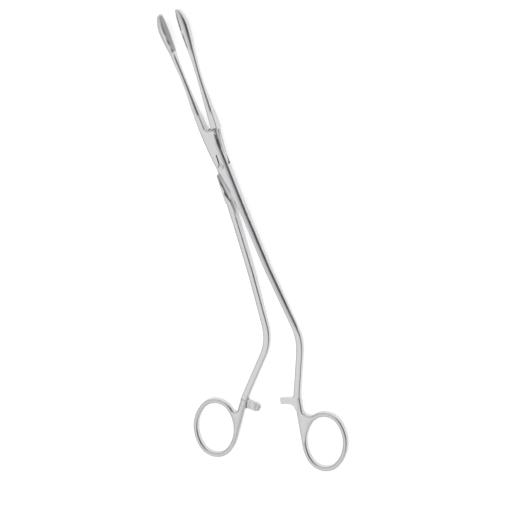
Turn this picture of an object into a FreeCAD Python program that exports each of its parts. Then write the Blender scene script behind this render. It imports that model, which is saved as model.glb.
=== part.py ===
import FreeCAD, Part
import math
import os
from FreeCAD import Vector

# Long dressing forceps with a box lock, lying on its side.
# Millimetres. The pivot axis is the Z axis, Z = 0 is the table under the box, +Y points to the jaw tips.
# Both halves are drawn shut, jaw face against jaw face, and then turned apart to the pose at rest.

# Pose
REST_OPENING = 5.8          # degrees between the halves at rest, from tips touching
FULL_OPENING = 31.0         # degrees between the halves when fully open
SLOT_SPARE = 1.5            # degrees that the slot allows past fully open

# Box lock
BOX_THICKNESS = 6.5
BOX_HALF_WIDTH = 4.1
PLATE_REACH = 19.0          # radius of the rounded upper end of the two plates
TONGUE_THICKNESS = 2.6
TONGUE_BOSS = 3.2           # radius of the tongue round the pivot
PIN_DIAMETER = 3.0
PIN_GAP = 0.04              # radial running clearance of the tongue on the pin
SLIDE_GAP = 0.06            # clearance between tongue and plate on each side
SLOT_GAP = 0.15             # in-plane clearance between the tongue and the walls of the slot
STEP_GAP = 0.35             # in-plane clearance between the plates and the steps of the tongue
BOX_FLAT_TOP = 17.0         # the box keeps its full thickness between these two heights
BOX_FLAT_FOOT = -4.0
BOX_TOP = 27.0              # where the box has run out into the neck
BOX_FOOT = -27.0            # where the box has run out into the shank
MARK_LENGTH = 5.0           # engraved fitter's stroke on the face of the box
MARK_WIDTH = 0.65
MARK_DEPTH = 0.3
MARK_HEIGHT = 4.0
MARK_LEAN = -5.0            # degrees
BOX_EDGE = 0.6              # rounding of the edges of the box

# Jaws
TIP_REACH = 82.1            # pivot to jaw tip
JAW_LENGTH = 20.5           # serrated length
JAW_WIDTH = 6.3
JAW_DEPTH = 4.3
JAW_TIP_WIDTH = 3.2         # where the rounding of the tip begins
JAW_TIP_DEPTH = 1.8
JAW_TIP_ROUND = 1.5         # length of the rounding of the tip
JAW_HEEL_WIDTH = 4.5        # at the rear end of the serration
JAW_HEEL_DEPTH = 3.1
JAW_FULLEST = 9.0           # distance of the fullest section from the tip
JAW_TOE_IN = 1.4            # degrees by which the tips meet first
TIP_GAP = 0.04              # between the jaw face and the middle plane when shut
TOOTH_PITCH = 1.0
TOOTH_DEPTH = 0.42

# Neck
NECK_WIDTH = 2.2
NECK_THICKNESS = 3.5
NECK_OFFSET = 0.7           # middle plane to the inner side of the neck
NECK_THIN_PLACE = 0.63      # share of the neck's length, from the box, at which it is thinnest
NECK_FOOT_WIDTH = 3.1
NECK_FOOT_THICKNESS = 5.5

# Shank
SHANK_GAP = 0.15            # middle plane to the inner side of the shank when shut
SHANK_WIDTH = 3.45
SHANK_THICKNESS = 6.2
STRAIGHT_RUN = 30.0         # the shanks run side by side for this length below the box
KNEE_THICKNESS = 5.4
HANDLE_WIDTH = 3.5
HANDLE_THICKNESS = 3.8
HANDLE_EDGE = 1.0           # rounding of the edges of the handle
JOIN_STEP = 0.08            # a run starts this much inside the one that it grows from
JOIN_OVERLAP = 0.4
ROOT_RADIUS = 12.0          # of the easy bend at the ratchet arm

# Ratchet
RATCHET_CREST_GAP = 0.08    # between tooth crests and the middle plane
RATCHET_PITCH = 2.0
RATCHET_DEPTH = 0.6
RATCHET_TEETH = 3

# Rings
RING_WIDTH = 19.2           # of the finger hole
RING_LENGTH = 27.2
RING_END_RADIUS = 7.6       # of the finger hole's two ends
RING_SECTION = 2.5          # in plane
RING_EDGE = 0.8             # broken edge of ring and fork

MIDDLE = BOX_THICKNESS / 2
RIGHT = 1
LEFT = -1


class Handle:
    """Sizes that differ between the two bent handles. Headings are degrees from -Y towards -X, when shut."""

    def __init__(self, **sizes):
        self.flare_heading = sizes["flare_heading"]
        self.flare_run = sizes["flare_run"]
        self.bend_radius = sizes["bend_radius"]
        self.run_heading = sizes["run_heading"]
        self.run = sizes["run"]
        self.tail_heading = sizes["tail_heading"]
        self.tail = sizes["tail"]
        self.ring_heading = sizes["ring_heading"]
        self.fork_radius = sizes["fork_radius"]
        self.arm_drop = sizes["arm_drop"]
        self.arm_lean = sizes["arm_lean"]
        self.arm_length = sizes["arm_length"]
        self.arm_width = sizes["arm_width"]
        self.arm_end_radius = sizes["arm_end_radius"]
        self.arm_fillets = sizes["arm_fillets"]


RIGHT_HANDLE = Handle(flare_heading=-2.3, flare_run=40.0, bend_radius=30.0, run_heading=26.3, run=30.7,
                      tail_heading=13.0, tail=27.3, ring_heading=25.0, fork_radius=3.6,
                      arm_drop=2.4, arm_lean=3.0, arm_length=9.0, arm_width=3.6, arm_end_radius=0.5,
                      arm_fillets=(1.0, 3.2))
LEFT_HANDLE = Handle(flare_heading=2.3, flare_run=37.0, bend_radius=25.0, run_heading=39.4, run=34.8,
                     tail_heading=31.0, tail=22.9, ring_heading=19.0, fork_radius=1.6,
                     arm_drop=3.0, arm_lean=-2.0, arm_length=9.0, arm_width=4.5, arm_end_radius=2.2,
                     arm_fillets=(1.6, 1.0))


def point(xy, z=MIDDLE):
    return Vector(xy[0], xy[1], z)


def turned(xy, degrees):
    angle = math.radians(degrees)
    return (xy[0] * math.cos(angle) - xy[1] * math.sin(angle),
            xy[0] * math.sin(angle) + xy[1] * math.cos(angle))


def mirrored(shape):
    return shape.mirror(Vector(0, 0, 0), Vector(1, 0, 0))


def slab(face_wire, z_low, z_high):
    """Extrude a closed outline, given at any height, between two heights."""
    wire = face_wire.copy()
    wire.translate(Vector(0, 0, z_low - wire.BoundBox.ZMin))
    return Part.Face(wire).extrude(Vector(0, 0, z_high - z_low))


def outline(corners):
    points = [point(corner) for corner in corners]
    return Part.makePolygon(points + [points[0]])


def line(start, finish):
    return Part.LineSegment(point(start), point(finish)).toShape()


def curve_through(corners):
    curve = Part.BSplineCurve()
    curve.interpolate([point(corner) for corner in corners])
    return curve.toShape()


def arc_round(centre, radius, start, sweep):
    """Arc in the plan round a centre, from an angle through a sweep, both in degrees."""
    places = []
    for share in (0, 0.5, 1):
        angle = math.radians(start + share * sweep)
        places.append(point((centre[0] + radius * math.cos(angle), centre[1] + radius * math.sin(angle))))
    return Part.Arc(*places).toShape()


def heading(degrees):
    """Unit direction in the plan, from -Y towards -X."""
    angle = math.radians(degrees)
    return Vector(-math.sin(angle), -math.cos(angle), 0)


def section(centre, direction, width, thickness, near_radius, far_radius):
    """Closed section across a bar. The near side is on the left of its direction of travel."""
    along = Vector(direction[0], direction[1], 0).normalize()
    across = Vector(along.y, -along.x, 0)
    up = Vector(0, 0, 1)
    middle = point(centre)
    near, far = -width / 2, width / 2
    half = thickness / 2

    def at(u, v):
        return middle + across * u + up * v

    def corner(u, v, radius):
        du = math.copysign(radius, u)
        dv = math.copysign(radius, v)
        slack = 1 - math.sqrt(0.5)
        return at(u - du * slack, v - dv * slack)

    corners = [(near, half, near_radius), (far, half, far_radius),
               (far, -half, far_radius), (near, -half, near_radius)]
    starts = [at(near, half - near_radius), at(far - far_radius, half),
              at(far, -half + far_radius), at(near + near_radius, -half)]
    ends = [at(near + near_radius, half), at(far, half - far_radius),
            at(far - far_radius, -half), at(near, -half + near_radius)]
    edges = []
    for i in range(4):
        arc = Part.Arc(starts[i], corner(*corners[i]), ends[i])
        edges.append(arc.toShape())
        edges.append(Part.LineSegment(ends[i], starts[(i + 1) % 4]).toShape())
    return Part.Wire(edges)


def jaw_size(distance):
    """Width and depth of the jaw at a distance from its tip."""
    if distance < JAW_FULLEST:
        swell = 1 - (1 - distance / JAW_FULLEST) ** 2.2
        width = JAW_TIP_WIDTH + (JAW_WIDTH - JAW_TIP_WIDTH) * swell
        depth = JAW_TIP_DEPTH + (JAW_DEPTH - JAW_TIP_DEPTH) * swell
        short = 1 - min(distance / JAW_TIP_ROUND, 1)
        rounding = 0.4 + 0.6 * math.sqrt(1 - short ** 2)
        return width * rounding, depth * rounding
    ratio = (distance - JAW_FULLEST) / (JAW_LENGTH - JAW_FULLEST)
    ease = ratio ** 1.8
    return (JAW_WIDTH + (JAW_HEEL_WIDTH - JAW_WIDTH) * ease,
            JAW_DEPTH + (JAW_HEEL_DEPTH - JAW_DEPTH) * ease)


def jaw_face(y):
    """Distance of the jaw face from the middle plane at a height."""
    return TIP_GAP + (TIP_REACH - y) * math.tan(math.radians(JAW_TOE_IN))


def jaw_sections():
    """Sections of the left jaw from its tip to its heel, flat on the side that bites."""
    rounded = [JAW_TIP_ROUND * share for share in (0, 0.15, 0.45, 1)]
    swelling = [JAW_TIP_ROUND + (JAW_FULLEST - JAW_TIP_ROUND) * share for share in (0.25, 0.5, 0.75, 1)]
    falling = [JAW_FULLEST + (JAW_LENGTH - JAW_FULLEST) * share for share in (0.35, 0.7, 1)]
    sections = []
    for distance in rounded + swelling + falling:
        width, depth = jaw_size(distance)
        y = TIP_REACH - distance
        back = min(0.46 * width, 0.8 * depth)
        sections.append(section((-jaw_face(y) - depth / 2, y), (0, 1), depth, width, back, 0.05 * depth))
    return sections


def neck_sections():
    """Sections of the left neck from the jaw's heel to the top of the box."""
    heel = TIP_REACH - JAW_LENGTH
    length = heel - BOX_TOP
    thin = NECK_THIN_PLACE
    places = (
        (thin + 0.5 * (1 - thin), (JAW_HEEL_DEPTH + 2 * NECK_WIDTH) / 3, (JAW_HEEL_WIDTH + 2 * NECK_THICKNESS) / 3),
        (thin, NECK_WIDTH, NECK_THICKNESS),
        (0.6 * thin, (4 * NECK_WIDTH + NECK_FOOT_WIDTH) / 5, (4 * NECK_THICKNESS + NECK_FOOT_THICKNESS) / 5),
        (0.25 * thin, (NECK_WIDTH + 3 * NECK_FOOT_WIDTH) / 4, (NECK_THICKNESS + 3 * NECK_FOOT_THICKNESS) / 4),
        (-0.03, NECK_FOOT_WIDTH, NECK_FOOT_THICKNESS))
    sections = []
    for share, width, thickness in places:
        radius = 0.3 * width
        centre = (-NECK_OFFSET - width / 2, BOX_TOP + share * length)
        sections.append(section(centre, (0, 1), width, thickness, radius, radius))
    return sections


def jaw_and_neck():
    """Left jaw and its neck, down to the top of the box."""
    return Part.makeLoft(jaw_sections() + neck_sections(), True, True)


def serration():
    """V grooves across the left jaw face."""
    grooves = []
    half = TOOTH_PITCH / 2
    count = int((JAW_LENGTH - 1.0) / TOOTH_PITCH)
    for i in range(count):
        y = TIP_REACH - 1.0 - (i + 0.5) * TOOTH_PITCH
        x = -jaw_face(y)
        wire = outline([(x - TOOTH_DEPTH, y), (x + 0.3, y + half * 1.2), (x + 0.3, y - half * 1.2)])
        grooves.append(slab(wire, -1, BOX_THICKNESS + 1))
    return Part.makeCompound(grooves)


def side_profile():
    """Thickness of the box along its length, seen from the side, swept across its width."""
    top_neck = NECK_FOOT_THICKNESS / 2
    top_foot = SHANK_THICKNESS / 2
    top = BOX_THICKNESS / 2

    def ramp(y_flat, y_end, rise):
        middle = (y_flat + y_end) / 2
        return [(y_flat, top), (middle, top), (middle, rise), (y_end, rise)]

    def curve(poles, sign):
        bezier = Part.BezierCurve()
        bezier.setPoles([Vector(-10, y, MIDDLE + sign * z) for y, z in poles])
        return bezier.toShape()

    upper = [curve(ramp(BOX_FLAT_TOP, BOX_TOP, top_neck), 1), curve(ramp(BOX_FLAT_FOOT, BOX_FOOT, top_foot), 1)]
    lower = [curve(ramp(BOX_FLAT_TOP, BOX_TOP, top_neck), -1), curve(ramp(BOX_FLAT_FOOT, BOX_FOOT, top_foot), -1)]

    def line(a, b):
        return Part.LineSegment(Vector(-10, *a), Vector(-10, *b)).toShape()

    edges = upper + lower
    for sign in (1, -1):
        edges.append(line((BOX_FLAT_TOP, MIDDLE + sign * top), (BOX_FLAT_FOOT, MIDDLE + sign * top)))
    edges.append(line((BOX_TOP, MIDDLE + top_neck), (BOX_TOP, MIDDLE - top_neck)))
    edges.append(line((BOX_FOOT, MIDDLE + top_foot), (BOX_FOOT, MIDDLE - top_foot)))
    wire = Part.Wire(Part.__sortEdges__(edges))
    return Part.Face(wire).extrude(Vector(20, 0, 0))


def box_outline():
    """Outline of the box half round the pivot, from neck to shank."""
    inner_neck = -NECK_OFFSET
    outer_neck = -NECK_OFFSET - NECK_FOOT_WIDTH
    crotch = PLATE_REACH + 0.15
    corner_x = BOX_HALF_WIDTH
    corner_y = math.sqrt(PLATE_REACH ** 2 - corner_x ** 2)
    arc_start = (0.4, math.sqrt(PLATE_REACH ** 2 - 0.16))
    arc_middle = (2.2, math.sqrt(PLATE_REACH ** 2 - 2.2 ** 2))
    shank_outer = SHANK_GAP + SHANK_WIDTH

    u_bottom = (inner_neck + 0.55, crotch + 0.45)
    edges = [
        line((outer_neck, BOX_TOP), (inner_neck, BOX_TOP)),
        line((inner_neck, BOX_TOP), (inner_neck, crotch + 1.4)),
        Part.Arc(point((inner_neck, crotch + 1.4)), point(u_bottom), point(arc_start)).toShape(),
        Part.Arc(point(arc_start), point(arc_middle), point((corner_x, corner_y))).toShape(),
        curve_through([(corner_x, corner_y), (BOX_HALF_WIDTH - 0.05, 8), (BOX_HALF_WIDTH - 0.2, -4),
                (shank_outer + 0.06, -17), (shank_outer, BOX_FOOT)]),
        line((shank_outer, BOX_FOOT), (SHANK_GAP, BOX_FOOT)),
        curve_through([(SHANK_GAP, BOX_FOOT), (SHANK_GAP - 0.5, -20), (-1.9, -10), (-3.2, 0), (-3.85, 8),
                (-BOX_HALF_WIDTH, 17), (outer_neck, BOX_TOP)]),
    ]
    return Part.Wire(Part.__sortEdges__(edges))


def blank():
    """Box half round the pivot before its slot is cut."""
    block = slab(box_outline(), -1, BOX_THICKNESS + 1)
    return block.common(side_profile())


def bar_places(side, handle):
    """Corners of the middle line of a handle: knee, bend, root of the ratchet arm, end at the ring."""
    knee = Vector(side * (SHANK_GAP + HANDLE_WIDTH / 2), BOX_FOOT - STRAIGHT_RUN, MIDDLE)
    bend = knee + heading(handle.flare_heading) * handle.flare_run
    root = bend + heading(handle.run_heading) * handle.run
    return knee, bend, root, root + heading(handle.tail_heading) * handle.tail


def rounded_corner(before, corner, after, radius):
    """Start, crown and finish of the arc that rounds a corner."""
    way_in = (corner - before).normalize()
    way_out = (after - corner).normalize()
    half_turn = way_in.getAngle(way_out) / 2
    setback = radius * math.tan(half_turn)
    inward = (way_out - way_in).normalize()
    crown = corner + inward * (radius / math.cos(half_turn) - radius)
    return corner - way_in * setback, crown, corner + way_out * setback


def bar_section(centre, way, width, thickness, edge):
    return section((centre.x, centre.y), (way.x, way.y), width, thickness, edge, edge)


def shank_and_handle(side, handle):
    """Tapered shank from the foot of the box, then a bent bar of one section down to the ratchet arm."""
    knee, bend, root, end = bar_places(side, handle)
    first = rounded_corner(knee, bend, root, handle.bend_radius)
    second = rounded_corner(bend, root, end, ROOT_RADIUS)
    top = Vector(side * (SHANK_GAP + SHANK_WIDTH / 2), BOX_FOOT + 1, MIDDLE)
    down = Vector(0, -1, 0)
    flare = heading(handle.flare_heading)
    bar_end = bar_section(first[0], flare, HANDLE_WIDTH, HANDLE_THICKNESS, HANDLE_EDGE)
    slim = 2 * JOIN_STEP
    shank = Part.makeLoft([bar_section(top, down, SHANK_WIDTH - slim, SHANK_THICKNESS - slim, BOX_EDGE),
                           bar_section(knee, down + flare, HANDLE_WIDTH, KNEE_THICKNESS, HANDLE_EDGE),
                           bar_end], True, True)
    path = Part.Wire([Part.Arc(*first).toShape(),
                      Part.LineSegment(first[2], second[0]).toShape(),
                      Part.Arc(*second).toShape()])
    return shank.fuse(path.makePipeShell([bar_end], True, False))


class Oval:
    """Oval of four arcs: the finger hole grown by a margin."""

    def __init__(self, margin):
        long_half = RING_LENGTH / 2
        short_half = RING_WIDTH / 2
        end = RING_END_RADIUS
        self.end_reach = long_half - end
        side = (self.end_reach ** 2 + short_half ** 2 - end ** 2) / (2 * (short_half - end))
        self.side_reach = side - short_half
        self.end_radius = end + margin
        self.side_radius = side + margin
        self.spread = math.degrees(math.atan2(self.end_reach, self.side_reach))


class RingPlan:
    """Plan of a ring and of the tail of the handle that runs into its side."""

    def __init__(self, side, handle):
        knee, bend, root, end = bar_places(side, handle)
        self.side = side
        self.down = heading(handle.ring_heading)
        self.to_handle = Vector(self.down.y * side, -self.down.x * side, 0)
        self.tail_way = heading(handle.tail_heading)
        self.to_ring = Vector(-self.tail_way.y * side, self.tail_way.x * side, 0)
        self.lean = side * (handle.ring_heading - handle.tail_heading)
        self.tail_top = rounded_corner(bend, root, end, ROOT_RADIUS)[2]
        self.tail_width = HANDLE_WIDTH - 2 * JOIN_STEP
        self.touch = end - self.to_ring * (self.tail_width - RING_SECTION) / 2
        middle_line = Oval(RING_SECTION / 2)
        lean = math.radians(self.lean)
        from_side_centre = self.to_handle * math.cos(lean) + self.down * math.sin(lean)
        self.side_centre = self.touch - from_side_centre * middle_line.side_radius
        self.centre = self.side_centre + self.to_handle * middle_line.side_reach

    def at(self, aside, along):
        """Place from the ring's centre, towards the handle and down the long axis."""
        return self.centre + self.to_handle * aside + self.down * along

    def arc(self, centre, radius, start, finish):
        """Arc between two angles, measured from the side of the handle towards the lower end."""
        places = []
        for degrees in (start, (start + finish) / 2, finish):
            angle = math.radians(degrees)
            way = self.to_handle * math.cos(angle) + self.down * math.sin(angle)
            places.append(centre + way * radius)
        return Part.Arc(*places).toShape()

    def arcs(self, oval, start, finish):
        """The oval's arcs from one angle on the side of the handle, round the lower end, to one at the top."""
        spread = oval.spread
        return [self.arc(self.at(-oval.side_reach, 0), oval.side_radius, start, spread),
                self.arc(self.at(0, oval.end_reach), oval.end_radius, spread, 180 - spread),
                self.arc(self.at(oval.side_reach, 0), oval.side_radius, 180 - spread, 180 + spread),
                self.arc(self.at(0, -oval.end_reach), oval.end_radius, 180 + spread, finish)]

    def hole(self):
        oval = Oval(0)
        closing = self.arc(self.at(-oval.side_reach, 0), oval.side_radius, -oval.spread, 0)
        return Part.Wire(self.arcs(oval, 0, 360 - oval.spread) + [closing])

    def rim(self, fork_radius):
        """Outer edge: tail, ring and the hollow fork between them."""
        oval = Oval(RING_SECTION)
        top_centre = self.at(0, -oval.end_reach)
        back = self.touch - self.to_ring * RING_SECTION / 2
        front = back + self.to_ring * self.tail_width
        hollow_line = front + self.to_ring * fork_radius
        offset = hollow_line - top_centre
        reach = oval.end_radius + fork_radius
        along = offset.dot(self.tail_way)
        climb = along + math.sqrt(along ** 2 - offset.dot(offset) + reach ** 2)
        hollow_centre = hollow_line - self.tail_way * climb
        leaving = hollow_centre - self.to_ring * fork_radius
        towards_top = (top_centre - hollow_centre).normalize()
        landing = hollow_centre + towards_top * fork_radius
        crown_way = (towards_top - self.to_ring).normalize()
        crown = hollow_centre + crown_way * fork_radius
        out = landing - top_centre
        finish = math.degrees(math.atan2(out.dot(self.down), out.dot(self.to_handle))) % 360
        length = (self.touch - self.tail_top).dot(self.tail_way) + JOIN_OVERLAP
        upper_back = back - self.tail_way * length
        upper_front = front - self.tail_way * length
        edges = self.arcs(oval, self.lean, finish)
        edges.append(Part.Arc(landing, crown, leaving).toShape())
        for start, stop in ((leaving, upper_front), (upper_front, upper_back), (upper_back, back)):
            edges.append(Part.LineSegment(start, stop).toShape())
        return Part.Wire(Part.__sortEdges__(edges))


def finger_ring(side, handle):
    """Ring, fork and tail of the handle in one plan, with rounded edges."""
    plan = RingPlan(side, handle)
    low = MIDDLE - HANDLE_THICKNESS / 2 + JOIN_STEP
    high = MIDDLE + HANDLE_THICKNESS / 2 - JOIN_STEP
    ring = slab(plan.rim(handle.fork_radius), low, high).cut(slab(plan.hole(), low - 1, high + 1))
    top = plan.tail_top
    way = plan.tail_way
    rims = [edge for edge in ring.Edges
            if edge.BoundBox.ZLength < 0.01 and (edge.CenterOfMass - top).dot(way) > 0]
    return ring.makeChamfer(RING_EDGE, rims)


def arm_wire(handle, flat):
    """Outline of a ratchet arm, with hollow corners where it leaves the handle."""
    half = handle.arm_width / 2
    root = HANDLE_WIDTH / 2 - 0.1
    upper, lower = handle.arm_fillets
    length = handle.arm_length
    corner = handle.arm_end_radius
    slack = corner * (1 - math.sqrt(0.5))
    bulge = 1 - math.sqrt(0.5)

    def arc(start, crown, finish):
        return Part.Arc(flat(*start), flat(*crown), flat(*finish)).toShape()

    def straight(start, finish):
        return Part.LineSegment(flat(*start), flat(*finish)).toShape()

    edges = [
        straight((0, -half - lower), (0, half + upper)),
        straight((0, half + upper), (root, half + upper)),
        arc((root, half + upper), (root + upper * bulge, half + upper * bulge), (root + upper, half)),
        straight((root + upper, half), (length - corner, half)),
        arc((length - corner, half), (length - slack, half - slack), (length, half - corner)),
        straight((length, half - corner), (length, corner - half)),
        arc((length, corner - half), (length - slack, slack - half), (length - corner, -half)),
        straight((length - corner, -half), (root + lower, -half)),
        arc((root + lower, -half), (root + lower * bulge, -half - lower * bulge), (root, -half - lower)),
        straight((root, -half - lower), (0, -half - lower)),
    ]
    return Part.Wire(edges)


def ratchet_arm(side, handle, level):
    """Flat arm with saw teeth on the face that meets the other arm. The level is +1 above, -1 below."""
    root = bar_places(side, handle)[2]
    tail_way = heading(handle.tail_heading)
    start = root + tail_way * handle.arm_drop
    way = heading(handle.tail_heading + side * (90 + handle.arm_lean))
    across = Vector(-way.y, way.x, 0) * -side
    crest = MIDDLE + level * RATCHET_CREST_GAP
    back = MIDDLE + level * HANDLE_THICKNESS / 2

    def flat(along, aside):
        return start + way * along + across * aside

    arm = slab(arm_wire(handle, flat), min(crest, back), max(crest, back))
    wide = handle.arm_width
    for i in range(RATCHET_TEETH):
        far = handle.arm_length - 0.5 - i * RATCHET_PITCH
        near = far - RATCHET_PITCH
        corners = []
        for along, depth in ((near, 0), (far, 0), (far, RATCHET_DEPTH)):
            spot = flat(along, -wide)
            corners.append(Vector(spot.x, spot.y, crest + level * depth))
        groove = Part.Face(Part.makePolygon(corners + [corners[0]])).extrude(across * (2 * wide))
        arm = arm.cut(groove)
    return arm


def boss_tangent(target, side, radius):
    """Where the line from a point touches the circle round the pivot, to its left (-1) or right (+1)."""
    spread = math.acos(radius / math.hypot(*target))
    angle = math.atan2(target[1], target[0]) - side * spread
    return (radius * math.cos(angle), radius * math.sin(angle))


def tongue_corners(gap):
    """Four corners of the tongue in the shut pose, grown by a gap, as seen from the front."""
    top = PLATE_REACH + STEP_GAP + 1.5
    return {"top_left": (NECK_OFFSET - gap, top),
            "top_right": (BOX_HALF_WIDTH - 0.1 + gap, top),
            "foot_right": (-SHANK_GAP + gap, BOX_FOOT + 1),
            "foot_left": (-SHANK_GAP - SHANK_WIDTH - gap, BOX_FOOT + 1)}


def boss_arc(start, finish, radius):
    """Shorter arc round the pivot between two points on its circle."""
    middle = (start[0] + finish[0], start[1] + finish[1])
    size = math.hypot(*middle)
    crown = (middle[0] * radius / size, middle[1] * radius / size)
    return Part.Arc(point(start), point(crown), point(finish)).toShape()


def tongue_wire():
    """Two arms joined by a round boss, leaning from the upper right to the lower left."""
    corner = tongue_corners(0)
    boss = TONGUE_BOSS
    left_top = boss_tangent(corner["top_left"], -1, boss)
    left_foot = boss_tangent(corner["foot_left"], 1, boss)
    right_top = boss_tangent(corner["top_right"], 1, boss)
    right_foot = boss_tangent(corner["foot_right"], -1, boss)
    edges = [
        line(corner["top_left"], corner["top_right"]),
        line(corner["top_right"], right_top),
        boss_arc(right_top, right_foot, boss),
        line(right_foot, corner["foot_right"]),
        line(corner["foot_right"], corner["foot_left"]),
        line(corner["foot_left"], left_foot),
        boss_arc(left_foot, left_top, boss),
        line(left_top, corner["top_left"]),
    ]
    return Part.Wire(edges)


def crossing(first, second):
    """Where two lines meet, each given by two points."""
    (ax, ay), (bx, by) = first
    (cx, cy), (dx, dy) = second
    spread = (bx - ax) * (dy - cy) - (by - ay) * (dx - cx)
    share = ((cx - ax) * (dy - cy) - (cy - ay) * (dx - cx)) / spread
    return (ax + share * (bx - ax), ay + share * (by - ay))


def slot_wire():
    """The room that the tongue needs between shut and fully open, open to both sides of the box."""
    corner = tongue_corners(SLOT_GAP)
    boss = TONGUE_BOSS + SLOT_GAP
    swing = -(FULL_OPENING + SLOT_SPARE)
    outside = 4 * BOX_HALF_WIDTH
    left_top = boss_tangent(corner["top_left"], -1, boss)
    right_foot = boss_tangent(corner["foot_right"], -1, boss)
    opened_right = turned(boss_tangent(corner["top_right"], 1, boss), swing)
    opened_top = turned(corner["top_right"], swing)
    opened_left = turned(boss_tangent(corner["foot_left"], 1, boss), swing)
    opened_foot = turned(corner["foot_left"], swing)
    left_end = crossing((corner["top_left"], left_top), (opened_left, opened_foot))
    right_end = crossing((corner["foot_right"], right_foot), (opened_right, opened_top))
    high = (corner["top_left"][0], BOX_TOP + 5)
    low = (corner["foot_right"][0], BOX_FOOT - 5)
    return outline([high, corner["top_left"], left_end, opened_foot, (-outside, low[1]), low,
                    corner["foot_right"], right_end, opened_top, (outside, high[1])])


def pin(gap=0.0, overrun=0.0):
    return Part.makeCylinder(PIN_DIAMETER / 2 + gap, BOX_THICKNESS + 2 * overrun, Vector(0, 0, -overrun))


def fitters_mark():
    """Round-ended stroke engraved on the front of the box."""
    floor = BOX_THICKNESS - MARK_DEPTH
    half = (MARK_LENGTH - MARK_WIDTH) / 2
    stroke = Part.makeBox(MARK_WIDTH, 2 * half, 1, Vector(-MARK_WIDTH / 2, -half, floor))
    ends = [Part.makeCylinder(MARK_WIDTH / 2, 1, Vector(0, end, floor)) for end in (-half, half)]
    stroke = stroke.multiFuse(ends)
    stroke.rotate(Vector(0, 0, 0), Vector(0, 0, 1), MARK_LEAN)
    stroke.translate(Vector(0, MARK_HEIGHT, 0))
    return stroke


def rounded_blank():
    """Middle block before the slot is cut, with its front and back edges rounded."""
    block = blank()
    rims = [edge for edge in block.Edges if edge.BoundBox.YLength + edge.BoundBox.XLength > 0.5]
    return block.makeFillet(BOX_EDGE, rims)


def box_block():
    """Two plates joined by solid metal at the upper left and the lower right."""
    gap = TONGUE_THICKNESS / 2 + SLIDE_GAP
    block = rounded_blank().cut(slab(slot_wire(), MIDDLE - gap, MIDDLE + gap))
    return block.cut(pin(overrun=1)).cut(fitters_mark())


def plate_room():
    """Room for both plates of the box, in which the other half keeps only its thin tongue."""
    reach = PLATE_REACH + STEP_GAP
    height = BOX_THICKNESS + 2
    wide = 8 * BOX_HALF_WIDTH
    plates = slab(box_outline(), -1, height - 1)
    plates.translate(Vector(-STEP_GAP, 0, 0))
    below_rim = Part.makeBox(2 * wide, wide + BOX_FLAT_TOP, height, Vector(-wide, -wide, -1))
    lower_right = Part.makeBox(wide, wide + BOX_FLAT_TOP, height, Vector(0, -wide, -1))
    disc = Part.makeCylinder(reach, height, Vector(0, 0, -1))
    upper_right = Part.makeBox(wide, wide, height, Vector(0, 0, -1))
    upper_left = Part.makeBox(wide, wide, height, Vector(NECK_OFFSET - STEP_GAP - wide, BOX_FLAT_FOOT, -1))
    return plates.common(below_rim).fuse([lower_right, disc.common(upper_right), upper_left])


def tongue_block():
    """Full thickness above and below the plates, thin between them, with a running bore."""
    half = TONGUE_THICKNESS / 2
    thick = mirrored(rounded_blank()).cut(plate_room())
    tongue = slab(tongue_wire(), MIDDLE - half, MIDDLE + half)
    return thick.fuse(tongue).cut(pin(gap=PIN_GAP, overrun=1))


def half_shape(side, handle, level, middle_block):
    """A whole half: jaw, neck, middle block, shank, handle, ratchet arm and ring."""
    upper = jaw_and_neck().cut(serration())
    if side == LEFT:
        upper = mirrored(upper)
    whole = shank_and_handle(side, handle).fuse(finger_ring(side, handle))
    for piece in (ratchet_arm(side, handle, level), middle_block, upper):
        whole = whole.fuse(piece)
    return whole


def at_rest(shape, side):
    """Turn a half from the shut pose to its pose at rest."""
    shape.rotate(Vector(0, 0, 0), Vector(0, 0, 1), side * REST_OPENING / 2)
    return shape


def build():
    os.makedirs("parts", exist_ok=True)
    nodes = {
        "box_half": at_rest(half_shape(RIGHT, RIGHT_HANDLE, 1, box_block()), 1),
        "tongue_half": at_rest(half_shape(LEFT, LEFT_HANDLE, -1, tongue_block()), -1),
        "pivot_pin": pin(),
    }
    for name, shape in nodes.items():
        print(name, "valid", shape.isValid(), "solids", len(shape.Solids), "volume", round(shape.Volume, 1))
        shape.exportStep("parts/" + name + ".step")
    return nodes


if __name__ == "__main__":
    build()
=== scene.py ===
import math

import bmesh
import bpy
from mathutils import Matrix, Vector


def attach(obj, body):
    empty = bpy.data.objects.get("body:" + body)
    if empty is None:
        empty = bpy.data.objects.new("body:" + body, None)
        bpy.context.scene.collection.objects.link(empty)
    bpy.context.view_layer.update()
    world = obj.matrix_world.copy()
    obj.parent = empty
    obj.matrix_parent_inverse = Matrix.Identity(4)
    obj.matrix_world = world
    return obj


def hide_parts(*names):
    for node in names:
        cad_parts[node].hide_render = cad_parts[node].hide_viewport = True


# Dressing forceps lying flat. Metres, Z = 0 is the table, +Y points to the jaw tips,
# and the pivot is the Z axis.

MM = 0.001

# Camera: where the pivot's front face lands in the square picture, and how that is turned.
PICTURE = 512
PIXELS_PER_MM = 2.004
PIVOT_PIXEL = (220.66, 166.93)
PIVOT_FACE_HEIGHT = 6.5
CAMERA_TILT = 25.25          # degrees off straight down
CAMERA_TILT_TOWARDS = 28.17  # degrees from +X, the side the camera leans to
CAMERA_ROLL = 17.27
CAMERA_DISTANCE = 1.695
SENSOR = 36.0
CLIP_START, CLIP_END = 0.01, 50

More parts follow.
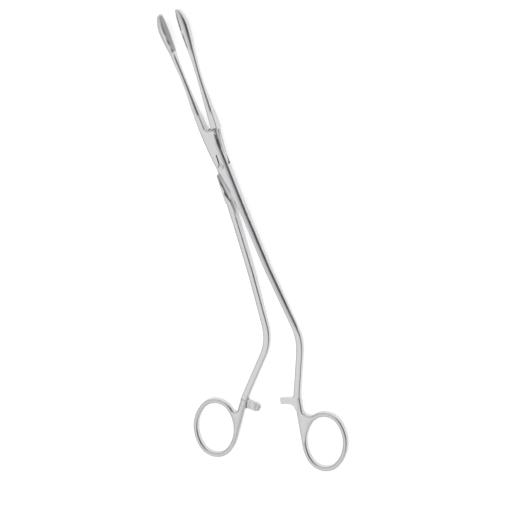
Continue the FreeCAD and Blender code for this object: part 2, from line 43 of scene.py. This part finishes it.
# Floor, lamp and sky. A ramp of the sky is (position, grey) where it starts and where it ends.
FLOOR_SIZE = 6.0
FLOOR_DROP = 0.0002          # how far the floor lies under the instrument
FLOOR_COLOUR = (0.86, 0.86, 0.86, 1)
FLOOR_LIFT = 0.56            # brings the floor round the object up to white
LAMP_PLACE, LAMP_AIM = (-0.55, -0.25, 1.3), (0, -0.05, 0)
LAMP_SIZE = 1.1
LAMP_POWER = 0.9
DARK_SIDE = Vector((0.97, -0.2, 0.12))
DARK_SIDE_RAMP = ((0.52, 0.8), (0.88, 0.07))
HORIZON_RAMP = ((0.05, 0.35), (0.45, 1.0))

SMOOTH_ANGLE = 32.0          # edges sharper than this stay crisp
MERGE_DISTANCE = 2e-6

# Flanks that are ground round: (height along the instrument, radius) from top to foot, in mm.
RIGHT_FLANK_ROUND = ((17.0, 1.4), (14.0, 2.7), (4.0, 2.9), (-27.0, 3.05),
                     (-60.0, 2.85), (-86.0, 2.6), (-94.0, 1.3))
BOX_LEFT_ROUND = ((26.0, 1.2), (14.0, 1.7), (-14.0, 1.6))
LEFT_FLANK_ROUND = ((-19.0, 1.9), (-60.0, 1.8), (-92.0, 1.2))
NECK_ROUND = ((60.0, 1.2), (44.0, 1.3), (28.0, 1.6))
FLANK_STEP = 6.0             # length of one slice of a ground flank, mm
FLANK_ROOM = 5.0             # how far in from its wall a flank reaches at most, mm
ROUND_CUTS = (0.02, 0.08, 0.18, 0.31, 0.47, 0.65, 0.82, 1.0)   # scored lines, shares of the radius
LEVEL_PRESS = 0.45           # share of the radius, from its middle, that is pressed level
CUT_TOLERANCE = 1e-7
BESIDE = 1e-6                # a section is measured this far to one side of its cut, metres

# Cut places painted darker as shade: the jaw teeth, darkest deep in each groove, and the fitter's
# stroke on the box. Millimetres, and parts of a face's normal.
TEETH_FROM = 60.0
TOOTH_DEPTH = 0.42
TOOTH_LEAN = 0.35            # least lean of a tooth's face along the jaw and across it
TOOTH_RISE = 0.25            # most lean of a tooth's face up or down
STROKE_LOW, STROKE_HIGH = (-1.6, 0.8, 6.15), (1.6, 7.2, 6.49)
STROKE_FLOOR = 6.2
STROKE_FLOOR_REACH = 0.01
STROKE_FLOOR_LEVEL = 0.999   # least upward part of the stroke's floor
STROKE_WALL_RISE = 0.3       # most lean of the stroke's walls up or down

# Finish of the steel. Cells of the noise to a metre, across, along and up the instrument.
STEEL_COLOUR = (0.69, 0.69, 0.70)
PIN_COLOUR = (0.67, 0.67, 0.68)
SHADE_SHARE = 0.12           # the darkest tone, as a share of the colour
MOTTLE_CELLS, MOTTLE_DETAIL = (420, 160, 420), 4.0
SCRATCH_CELLS, SCRATCH_DETAIL = (9000, 700, 9000), 3.0
PIT_CELLS, PIT_DETAIL = (2600, 2600, 2600), 2.0
NOISE_MIDDLE = 0.5
BASE_TONE = 0.96
MOTTLE_TONE = 0.10
SCRATCH_TONE, SCRATCH_ROUGHNESS = 0.05, 0.1
CUT_SHADE, CUT_ROUGHNESS = 1.1, 0.2   # painted shade taken from the tone, and roughness added, where a cut is deepest
PIT_HEIGHT = 0.5             # height of the pits, as a share of the scratches'
BUMP_DISTANCE = 0.00002


def input_socket(group, name, value):
    socket = group.interface.new_socket(name, in_out="INPUT", socket_type="NodeSocketFloat")
    socket.default_value = value


def satin_grain_group():
    """Brushed and tumbled steel: a soft mottle, fine scratches that follow the length, and painted
    shade where the "cut" attribute marks the teeth and the stroke.
    """
    group = bpy.data.node_groups.new("satin_grain", "ShaderNodeTree")
    input_socket(group, "Roughness", 0.3)
    input_socket(group, "Mottle", 0.08)
    input_socket(group, "Scratch depth", 0.2)
    group.interface.new_socket("Roughness", in_out="OUTPUT", socket_type="NodeSocketFloat")
    group.interface.new_socket("Tone and cut shade", in_out="OUTPUT", socket_type="NodeSocketFloat")
    group.interface.new_socket("Normal", in_out="OUTPUT", socket_type="NodeSocketVector")
    nodes, links = group.nodes, group.links
    inputs = nodes.new("NodeGroupInput")
    outputs = nodes.new("NodeGroupOutput")
    coords = nodes.new("ShaderNodeTexCoord")

    def stretched_noise(scale, detail):
        mapping = nodes.new("ShaderNodeMapping")
        mapping.inputs["Scale"].default_value = scale
        noise = nodes.new("ShaderNodeTexNoise")
        noise.inputs["Scale"].default_value = 1.0
        noise.inputs["Detail"].default_value = detail
        links.new(coords.outputs["Object"], mapping.inputs["Vector"])
        links.new(mapping.outputs["Vector"], noise.inputs["Vector"])
        return noise.outputs["Fac"]

    def math_node(operation, first, second, third=None):
        node = nodes.new("ShaderNodeMath")
        node.operation = operation
        for socket, value in zip(node.inputs, (first, second, third)):
            if value is None:
                continue
            if isinstance(value, (int, float)):
                socket.default_value = value
            else:
                links.new(value, socket)
        return node.outputs[0]

    mottle = stretched_noise(MOTTLE_CELLS, MOTTLE_DETAIL)
    scratches = stretched_noise(SCRATCH_CELLS, SCRATCH_DETAIL)
    pits = stretched_noise(PIT_CELLS, PIT_DETAIL)

    swing = math_node("SUBTRACT", mottle, NOISE_MIDDLE)
    fine = math_node("SUBTRACT", scratches, NOISE_MIDDLE)
    # the "cut" attribute: how deep a tooth or the stroke lies, used for roughness and for painted
    # shade
    cut = nodes.new("ShaderNodeAttribute")
    cut.attribute_name = "cut"
    depth = cut.outputs["Fac"]

    rough = math_node("MULTIPLY_ADD", swing, inputs.outputs["Mottle"], inputs.outputs["Roughness"])
    rough = math_node("MULTIPLY_ADD", fine, SCRATCH_ROUGHNESS, rough)
    rough = math_node("MULTIPLY_ADD", depth, CUT_ROUGHNESS, rough)
    tone_and_cut_shade = math_node("MULTIPLY_ADD", swing, MOTTLE_TONE, BASE_TONE)
    tone_and_cut_shade = math_node("MULTIPLY_ADD", fine, SCRATCH_TONE, tone_and_cut_shade)
    # painted shade: the tone drops where the teeth and the stroke are cut deepest
    tone_and_cut_shade = math_node("SUBTRACT", tone_and_cut_shade, math_node("MULTIPLY", depth, CUT_SHADE))

    height = math_node("MULTIPLY_ADD", pits, PIT_HEIGHT, scratches)
    bump = nodes.new("ShaderNodeBump")
    bump.inputs["Distance"].default_value = BUMP_DISTANCE
    links.new(inputs.outputs["Scratch depth"], bump.inputs["Strength"])
    links.new(height, bump.inputs["Height"])

    links.new(rough, outputs.inputs["Roughness"])
    links.new(tone_and_cut_shade, outputs.inputs["Tone and cut shade"])
    links.new(bump.outputs["Normal"], outputs.inputs["Normal"])
    return group


def steel(name, grain, colour, roughness, mottle, scratch_depth):
    material = bpy.data.materials.new(name)
    material.use_nodes = True
    nodes, links = material.node_tree.nodes, material.node_tree.links
    shader = nodes["Principled BSDF"]
    shader.inputs["Metallic"].default_value = 1.0
    finish = nodes.new("ShaderNodeGroup")
    finish.node_tree = grain
    finish.inputs["Roughness"].default_value = roughness
    finish.inputs["Mottle"].default_value = mottle
    finish.inputs["Scratch depth"].default_value = scratch_depth
    tint = nodes.new("ShaderNodeMix")
    tint.data_type = "RGBA"
    tint.inputs["A"].default_value = (*[SHADE_SHARE * part for part in colour], 1.0)
    tint.inputs["B"].default_value = (*colour, 1.0)
    links.new(finish.outputs["Tone and cut shade"], tint.inputs["Factor"])
    links.new(tint.outputs["Result"], shader.inputs["Base Color"])
    links.new(finish.outputs["Roughness"], shader.inputs["Roughness"])
    links.new(finish.outputs["Normal"], shader.inputs["Normal"])
    return material


def radius_at(height, stops):
    """Radius of a ground flank at a height, from its list of stops."""
    for (upper, first), (lower, second) in zip(stops, stops[1:]):
        if lower <= height <= upper:
            share = (upper - height) / (upper - lower)
            return first + share * (second - first)
    return stops[0][1] if height > stops[0][0] else stops[-1][1]


def section_extent(edges, height, side, room):
    """Outer wall, underside and top of the slice at one height, on the chosen side."""
    crossings = []
    for edge in edges:
        low, high = (vertex.co for vertex in edge.verts)
        if (low.y - height) * (high.y - height) < 0:
            share = (height - low.y) / (high.y - low.y)
            crossings.append(low + share * (high - low))
    wall = max(side * place.x for place in crossings)
    near = [place.z for place in crossings if side * place.x > wall - room]
    return side * wall, min(near), max(near)


def geometry_of(faces):
    """Faces with their edges and corners, as the bisect operator wants them."""
    edges = list({edge for face in faces for edge in face.edges})
    corners = list({vertex for face in faces for vertex in face.verts})
    return faces + edges + corners


def bisect(work, part, place, normal):
    """Cut part of the mesh along a plane, and return all its geometry after the cut."""
    cut = bmesh.ops.bisect_plane(work, geom=part, dist=CUT_TOLERANCE,
                                 plane_co=place, plane_no=normal)
    return cut["geom"]


def flank_cuts(upper, lower, share, radii, side):
    """Planes that score a slice lengthwise, a share of the radius in from each of its sides."""
    height_up, wall_up, under_up, over_up = upper
    height_low, wall_low, under_low, over_low = lower
    depth_up, depth_low = share * radii[0], share * radii[1]
    start = Vector((wall_up - side * depth_up, height_up, 0))
    run = Vector((wall_low - side * depth_low, height_low, 0)) - start
    yield start, Vector((run.y, -run.x, 0))
    for level_up, level_low, sign in ((over_up, over_low, -1), (under_up, under_low, 1)):
        first, second = level_up + sign * depth_up, level_low + sign * depth_low
        slope = (second - first) / (height_low - height_up)
        yield Vector((0, height_up, first)), Vector((0, -slope, 1))


def press_round(vertex, upper, lower, side, radius):
    """Press a corner of the bar onto its arc, and only sideways where the slot's mouth lies."""
    share = (upper[0] - vertex.co.y) / (upper[0] - lower[0])
    wall, under, over = (first + share * (second - first)
                         for first, second in zip(upper[1:], lower[1:]))
    for level, sign in ((over, -1), (under, 1)):
        across = radius - side * (wall - vertex.co.x)
        down = radius - sign * (vertex.co.z - level)
        reach = math.hypot(across, down)
        if across <= 0 or down <= 0 or reach <= radius:
            continue
        if down < LEVEL_PRESS * radius:
            vertex.co.x = wall - side * (radius - math.sqrt(radius ** 2 - down ** 2))
        else:
            vertex.co.x = wall - side * (radius - across * radius / reach)
            vertex.co.z = level + sign * (radius - down * radius / reach)


def grind_flank(work, side, stops):
    """Round a bar's flank between two heights: slice it, score it, then press its corners round."""
    top, foot = stops[0][0] * MM, stops[-1][0] * MM
    count = max(1, round((top - foot) / (FLANK_STEP * MM)))
    heights = [top + (foot - top) * index / count for index in range(count + 1)]
    bar = geometry_of([face for face in work.faces
                       if min(vertex.co.y for vertex in face.verts) < top
                       and max(vertex.co.y for vertex in face.verts) > foot])
    for height in heights:
        bar = bisect(work, bar, (0, height, 0), (0, 1, 0))
    edges = [item for item in bar if isinstance(item, bmesh.types.BMEdge)]
    stations = []
    for height in heights:
        beside = height + (BESIDE if height == foot else -BESIDE)
        stations.append((height, *section_extent(edges, beside, side, FLANK_ROOM * MM)))
    faces = [item for item in bar if isinstance(item, bmesh.types.BMFace)]
    middles = [(face, face.calc_center_median()) for face in faces]
    scored = set()
    for upper, lower in zip(stations, stations[1:]):
        radii = [radius_at(station[0] / MM, stops) * MM for station in (upper, lower)]
        part = geometry_of([face for face, middle in middles
                            if lower[0] < middle.y < upper[0]
                            and side * (upper[1] - middle.x) < FLANK_ROOM * MM])
        for share in ROUND_CUTS:
            for place, normal in flank_cuts(upper, lower, share, radii, side):
                part = bisect(work, part, place, normal)
        scored.update(item for item in part if isinstance(item, bmesh.types.BMVert))
    for vertex in scored:
        index = min(max(int((top - vertex.co.y) / (top - foot) * count), 0), count - 1)
        radius = radius_at(vertex.co.y / MM, stops) * MM
        press_round(vertex, stations[index], stations[index + 1], side, radius)


def on_tooth(place, normal, side):
    """Whether a face is cut into the serrated side of the jaw."""
    leans = abs(normal.y) > TOOTH_LEAN and -side * normal.x > TOOTH_LEAN
    return place.y > TEETH_FROM and leans and abs(normal.z) < TOOTH_RISE


def in_stroke(place, normal):
    """Whether a face is a wall or the floor of the engraved stroke."""
    within = all(low < part < high for low, part, high in zip(STROKE_LOW, place, STROKE_HIGH))
    on_floor = abs(place.z - STROKE_FLOOR) < STROKE_FLOOR_REACH and normal.z > STROKE_FLOOR_LEVEL
    return within and (abs(normal.z) < STROKE_WALL_RISE or on_floor)


def shade_cuts(mesh, side):
    """Write how deep each corner lies in a jaw tooth or in the stroke, as the attribute "cut" that
    the steel darkens as painted shade.
    """
    cut = mesh.attributes.new("cut", "FLOAT", "CORNER")
    teeth = []
    for polygon in mesh.polygons:
        place, normal = polygon.center / MM, polygon.normal
        if on_tooth(place, normal, side):
            teeth.append(polygon)
        elif in_stroke(place, normal):
            # the whole stroke takes the darkest painted shade
            for loop in polygon.loop_indices:
                cut.data[loop].value = 1.0
    if not teeth:
        return
    places = [mesh.vertices[index].co / MM for polygon in teeth for index in polygon.vertices]
    middle_x = sum(place.x for place in places) / len(places)
    middle_y = sum(place.y for place in places) / len(places)
    drift = sum((place.x - middle_x) * (place.y - middle_y) for place in places)
    slope = drift / sum((place.y - middle_y) ** 2 for place in places)
    for polygon in teeth:
        for loop in polygon.loop_indices:
            place = mesh.vertices[mesh.loops[loop].vertex_index].co / MM
            inward = side * (place.x - middle_x - slope * (place.y - middle_y))
            # deeper in a tooth's groove means darker painted shade
            cut.data[loop].value = min(max(0.5 + inward / TOOTH_DEPTH, 0.0), 1.0)


def finished_copy(node, name, material, jaw_side, flanks):
    """The CAD node's shape, with triangles joined, flanks ground round and curves shaded smooth."""
    mesh = node.data.copy()
    mesh.name = name
    work = bmesh.new()
    work.from_mesh(mesh)
    bmesh.ops.remove_doubles(work, verts=work.verts, dist=MERGE_DISTANCE)
    for side, stops in flanks:
        grind_flank(work, side, stops)
    bmesh.ops.remove_doubles(work, verts=work.verts, dist=MERGE_DISTANCE)
    work.to_mesh(mesh)
    work.free()
    mesh.materials.clear()
    mesh.materials.append(material)
    for polygon in mesh.polygons:
        polygon.use_smooth = True
        polygon.material_index = 0
    shade_cuts(mesh, jaw_side)
    mesh.set_sharp_from_angle(angle=math.radians(SMOOTH_ANGLE))
    piece = bpy.data.objects.new(name, mesh)
    bpy.context.scene.collection.objects.link(piece)
    even = piece.modifiers.new("even_shading", "WEIGHTED_NORMAL")
    even.keep_sharp = True
    return piece


def camera_axes():
    """Right, up and back directions of the camera in the frame."""
    tilt = math.radians(CAMERA_TILT)
    towards = math.radians(CAMERA_TILT_TOWARDS)
    lean = Vector((math.cos(towards), math.sin(towards), 0))
    side = Vector((-math.sin(towards), math.cos(towards), 0))
    down_slope = lean * math.cos(tilt) - Vector((0, 0, math.sin(tilt)))
    level_x = down_slope * math.cos(towards) - side * math.sin(towards)
    level_y = down_slope * math.sin(towards) + side * math.cos(towards)
    roll = math.radians(CAMERA_ROLL)
    right = level_x * math.cos(roll) - level_y * math.sin(roll)
    up = level_x * math.sin(roll) + level_y * math.cos(roll)
    return right, up, right.cross(up)


def set_camera():
    right, up, back = camera_axes()
    middle = PICTURE / 2
    aside = (middle - PIVOT_PIXEL[0]) / PIXELS_PER_MM * MM
    above = (PIVOT_PIXEL[1] - middle) / PIXELS_PER_MM * MM
    target = Vector((0, 0, PIVOT_FACE_HEIGHT * MM)) + right * aside + up * above
    data = bpy.data.cameras.new("camera")
    data.sensor_width = SENSOR
    data.lens = SENSOR * CAMERA_DISTANCE / (PICTURE / PIXELS_PER_MM * MM)
    data.clip_start = CLIP_START
    data.clip_end = CLIP_END
    camera = bpy.data.objects.new("camera", data)
    turn = Matrix((right, up, back)).transposed().to_4x4()
    camera.matrix_world = Matrix.Translation(target + back * CAMERA_DISTANCE) @ turn
    bpy.context.scene.collection.objects.link(camera)
    bpy.context.scene.camera = camera


def area_lamp(name, place, aim, size, power):
    data = bpy.data.lights.new(name, "AREA")
    data.shape = "SQUARE"
    data.size = size
    data.energy = power
    lamp = bpy.data.objects.new(name, data)
    lamp.location = place
    lamp.rotation_euler = (Vector(place) - Vector(aim)).to_track_quat("Z", "Y").to_euler()
    bpy.context.scene.collection.objects.link(lamp)


def studio_world():
    """White to the camera, and to the steel a pale sky, dark to the right and dimmer lower down."""
    world = bpy.data.worlds.new("studio")
    world.use_nodes = True
    bpy.context.scene.world = world
    nodes, links = world.node_tree.nodes, world.node_tree.links
    nodes.clear()

    def soft_ramp(factor, stops):
        ramp = nodes.new("ShaderNodeValToRGB")
        ramp.color_ramp.interpolation = "EASE"
        for element, (position, grey) in zip(ramp.color_ramp.elements, stops):
            element.position = position
            element.color = (grey, grey, grey, 1)
        links.new(factor, ramp.inputs["Fac"])
        return ramp.outputs["Color"]

    coords = nodes.new("ShaderNodeTexCoord")
    dot = nodes.new("ShaderNodeVectorMath")
    dot.operation = "DOT_PRODUCT"
    dot.inputs[1].default_value = DARK_SIDE.normalized()
    split = nodes.new("ShaderNodeSeparateXYZ")
    links.new(coords.outputs["Generated"], dot.inputs[0])
    links.new(coords.outputs["Generated"], split.inputs["Vector"])

    both = nodes.new("ShaderNodeMix")
    both.data_type = "RGBA"
    both.blend_type = "MULTIPLY"
    both.inputs["Factor"].default_value = 1.0
    links.new(soft_ramp(dot.outputs["Value"], DARK_SIDE_RAMP), both.inputs["A"])
    links.new(soft_ramp(split.outputs["Z"], HORIZON_RAMP), both.inputs["B"])

    light = nodes.new("ShaderNodeBackground")
    white = nodes.new("ShaderNodeBackground")
    white.inputs["Color"].default_value = (1, 1, 1, 1)
    rays = nodes.new("ShaderNodeLightPath")
    mix = nodes.new("ShaderNodeMixShader")
    output = nodes.new("ShaderNodeOutputWorld")
    links.new(both.outputs["Result"], light.inputs["Color"])
    links.new(rays.outputs["Is Camera Ray"], mix.inputs["Fac"])
    links.new(light.outputs["Background"], mix.inputs[1])
    links.new(white.outputs["Background"], mix.inputs[2])
    links.new(mix.outputs["Shader"], output.inputs["Surface"])


def floor():
    """White table that takes the shadow, and glows to the camera and in the steel."""
    mesh = bpy.data.meshes.new("floor")
    half = FLOOR_SIZE / 2
    corners = [(across * half, along * half, -FLOOR_DROP)
               for across, along in ((-1, -1), (1, -1), (1, 1), (-1, 1))]
    mesh.from_pydata(corners, [], [(0, 1, 2, 3)])
    material = bpy.data.materials.new("white_table")
    material.use_nodes = True
    nodes, links = material.node_tree.nodes, material.node_tree.links
    shader = nodes["Principled BSDF"]
    shader.inputs["Base Color"].default_value = FLOOR_COLOUR
    shader.inputs["Roughness"].default_value = 1.0
    shader.inputs["Specular IOR Level"].default_value = 0.0
    shader.inputs["Emission Color"].default_value = (1, 1, 1, 1)
    rays = nodes.new("ShaderNodeLightPath")
    seen = rays.outputs["Is Camera Ray"]
    for kind in ("Is Glossy Ray", "Is Transmission Ray"):
        either = nodes.new("ShaderNodeMath")
        either.operation = "MAXIMUM"
        links.new(seen, either.inputs[0])
        links.new(rays.outputs[kind], either.inputs[1])
        seen = either.outputs["Value"]
    lift = nodes.new("ShaderNodeMath")
    lift.operation = "MULTIPLY"
    lift.inputs[1].default_value = FLOOR_LIFT
    links.new(seen, lift.inputs[0])
    links.new(lift.outputs["Value"], shader.inputs["Emission Strength"])
    mesh.materials.append(material)
    table = bpy.data.objects.new("floor", mesh)
    bpy.context.scene.collection.objects.link(table)


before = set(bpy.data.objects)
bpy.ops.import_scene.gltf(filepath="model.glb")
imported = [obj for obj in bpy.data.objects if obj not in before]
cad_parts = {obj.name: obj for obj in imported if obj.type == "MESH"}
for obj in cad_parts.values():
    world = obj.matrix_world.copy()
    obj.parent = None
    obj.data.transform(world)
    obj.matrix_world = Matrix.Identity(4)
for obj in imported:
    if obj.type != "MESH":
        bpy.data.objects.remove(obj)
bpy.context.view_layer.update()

grain = satin_grain_group()
satin_steel = steel("satin_steel", grain, STEEL_COLOUR,
                    roughness=0.30, mottle=0.16, scratch_depth=0.25)
ground_pin_steel = steel("ground_pin_steel", grain, PIN_COLOUR,
                         roughness=0.34, mottle=0.1, scratch_depth=0.3)

RIGHT, LEFT = 1, -1
PIECES = (
    ("box_half", "box_half_finished", "box_side", "steel", satin_steel, LEFT,
     ((RIGHT, RIGHT_FLANK_ROUND), (LEFT, BOX_LEFT_ROUND), (RIGHT, NECK_ROUND))),
    ("tongue_half", "tongue_half_finished", "tongue_side", "steel", satin_steel, RIGHT,
     ((LEFT, LEFT_FLANK_ROUND), (RIGHT, NECK_ROUND))),
    ("pivot_pin", "pivot_pin_finished", "box_side", "pin_steel", ground_pin_steel, LEFT, ()),
)
for node_name, piece_name, body, slot, material, jaw_side, flanks in PIECES:
    piece = finished_copy(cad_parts[node_name], piece_name, material, jaw_side, flanks)
    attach(piece, body)
    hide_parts(node_name)

bpy.context.scene.view_settings.view_transform = "Standard"
studio_world()
floor()
set_camera()
area_lamp("overhead_lamp", LAMP_PLACE, LAMP_AIM, LAMP_SIZE, LAMP_POWER)
